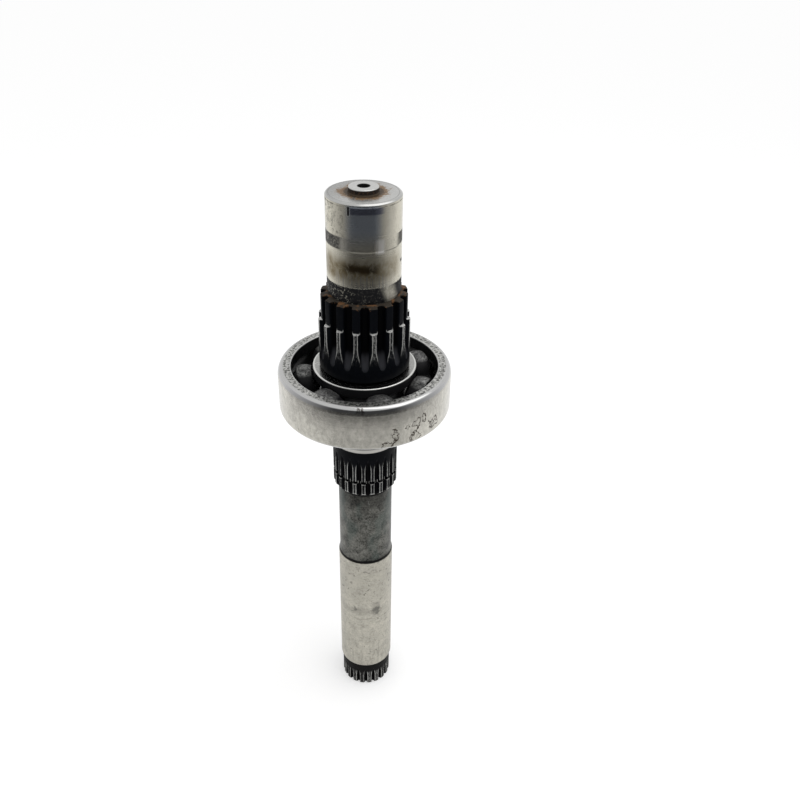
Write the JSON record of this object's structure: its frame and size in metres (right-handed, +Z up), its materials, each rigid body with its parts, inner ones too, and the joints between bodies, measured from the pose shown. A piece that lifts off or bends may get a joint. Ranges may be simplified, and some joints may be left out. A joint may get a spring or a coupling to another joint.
{
  "type": "transmission input shaft",
  "caption": "Splined steel transmission input shaft standing on its small end, with a pressed-on deep groove ball bearing whose outer ring, cage and balls turn.",
  "frame": {"origin": "centre of the foot spline's end face, which the part stands on", "axes": "+Z up along the shaft's axis, from the foot spline to the boss on the front journal; +X and +Y across it"},
  "size_m": [0.062, 0.0618, 0.2235],
  "materials": {
    "shaft_steel": "ground journals, dark oily splines",
    "ring_steel": "ground, worn and lightly corroded",
    "ball_steel": "polished",
    "cage_steel": "pressed sheet, mottled"
  },
  "bodies": {
    "shaft_body": {"shaft": "shaft_steel", "bearing_inner_ring": "ring_steel"},
    "outer_ring_body": {"bearing_outer_ring": "ring_steel"},
    "cage_body": {"cage_upper_half": "cage_steel", "cage_lower_half": "cage_steel", "cage_rivet_1": "cage_steel", "cage_rivet_2": "cage_steel", "cage_rivet_3": "cage_steel", "cage_rivet_4": "cage_steel", "cage_rivet_5": "cage_steel", "cage_rivet_6": "cage_steel", "cage_rivet_7": "cage_steel"},
    "ball_1_body": {"bearing_ball_1": "ball_steel"},
    "ball_2_body": {"bearing_ball_2": "ball_steel"},
    "ball_3_body": {"bearing_ball_3": "ball_steel"},
    "ball_4_body": {"bearing_ball_4": "ball_steel"},
    "ball_5_body": {"bearing_ball_5": "ball_steel"},
    "ball_6_body": {"bearing_ball_6": "ball_steel"},
    "ball_7_body": {"bearing_ball_7": "ball_steel"}
  },
  "joints": [
    {"name": "outer_ring_turn", "type": "hinge", "parent": "shaft_body", "child": "outer_ring_body", "pos_m": [0, 0, 0.1504], "axis": [0, 0, 1], "continuous": true},
    {"name": "cage_turn", "type": "hinge", "parent": "shaft_body", "child": "cage_body", "pos_m": [0, 0, 0.1504], "axis": [0, 0, 1], "continuous": true},
    {"name": "ball_1_roll", "type": "hinge", "parent": "cage_body", "child": "ball_1_body", "pos_m": [-0.02175, 0, 0.1504], "axis": [0, 0, 1], "continuous": true},
    {"name": "ball_2_roll", "type": "hinge", "parent": "cage_body", "child": "ball_2_body", "pos_m": [-0.01356, -0.017, 0.1504], "axis": [0, 0, 1], "continuous": true},
    {"name": "ball_3_roll", "type": "hinge", "parent": "cage_body", "child": "ball_3_body", "pos_m": [0.00484, -0.02121, 0.1504], "axis": [0, 0, 1], "continuous": true},
    {"name": "ball_4_roll", "type": "hinge", "parent": "cage_body", "child": "ball_4_body", "pos_m": [0.0196, -0.00944, 0.1504], "axis": [0, 0, 1], "continuous": true},
    {"name": "ball_5_roll", "type": "hinge", "parent": "cage_body", "child": "ball_5_body", "pos_m": [0.0196, 0.00944, 0.1504], "axis": [0, 0, 1], "continuous": true},
    {"name": "ball_6_roll", "type": "hinge", "parent": "cage_body", "child": "ball_6_body", "pos_m": [0.00484, 0.02121, 0.1504], "axis": [0, 0, 1], "continuous": true},
    {"name": "ball_7_roll", "type": "hinge", "parent": "cage_body", "child": "ball_7_body", "pos_m": [-0.01356, 0.017, 0.1504], "axis": [0, 0, 1], "continuous": true}
  ],
  "couplings": [
    {"joint": "cage_turn", "follows": "outer_ring_turn", "ratio": 0.6322},
    {"joint": "ball_1_roll", "follows": "outer_ring_turn", "ratio": 1.7591},
    {"joint": "ball_2_roll", "follows": "outer_ring_turn", "ratio": 1.7591},
    {"joint": "ball_3_roll", "follows": "outer_ring_turn", "ratio": 1.7591},
    {"joint": "ball_4_roll", "follows": "outer_ring_turn", "ratio": 1.7591},
    {"joint": "ball_5_roll", "follows": "outer_ring_turn", "ratio": 1.7591},
    {"joint": "ball_6_roll", "follows": "outer_ring_turn", "ratio": 1.7591},
    {"joint": "ball_7_roll", "follows": "outer_ring_turn", "ratio": 1.7591}
  ]
}
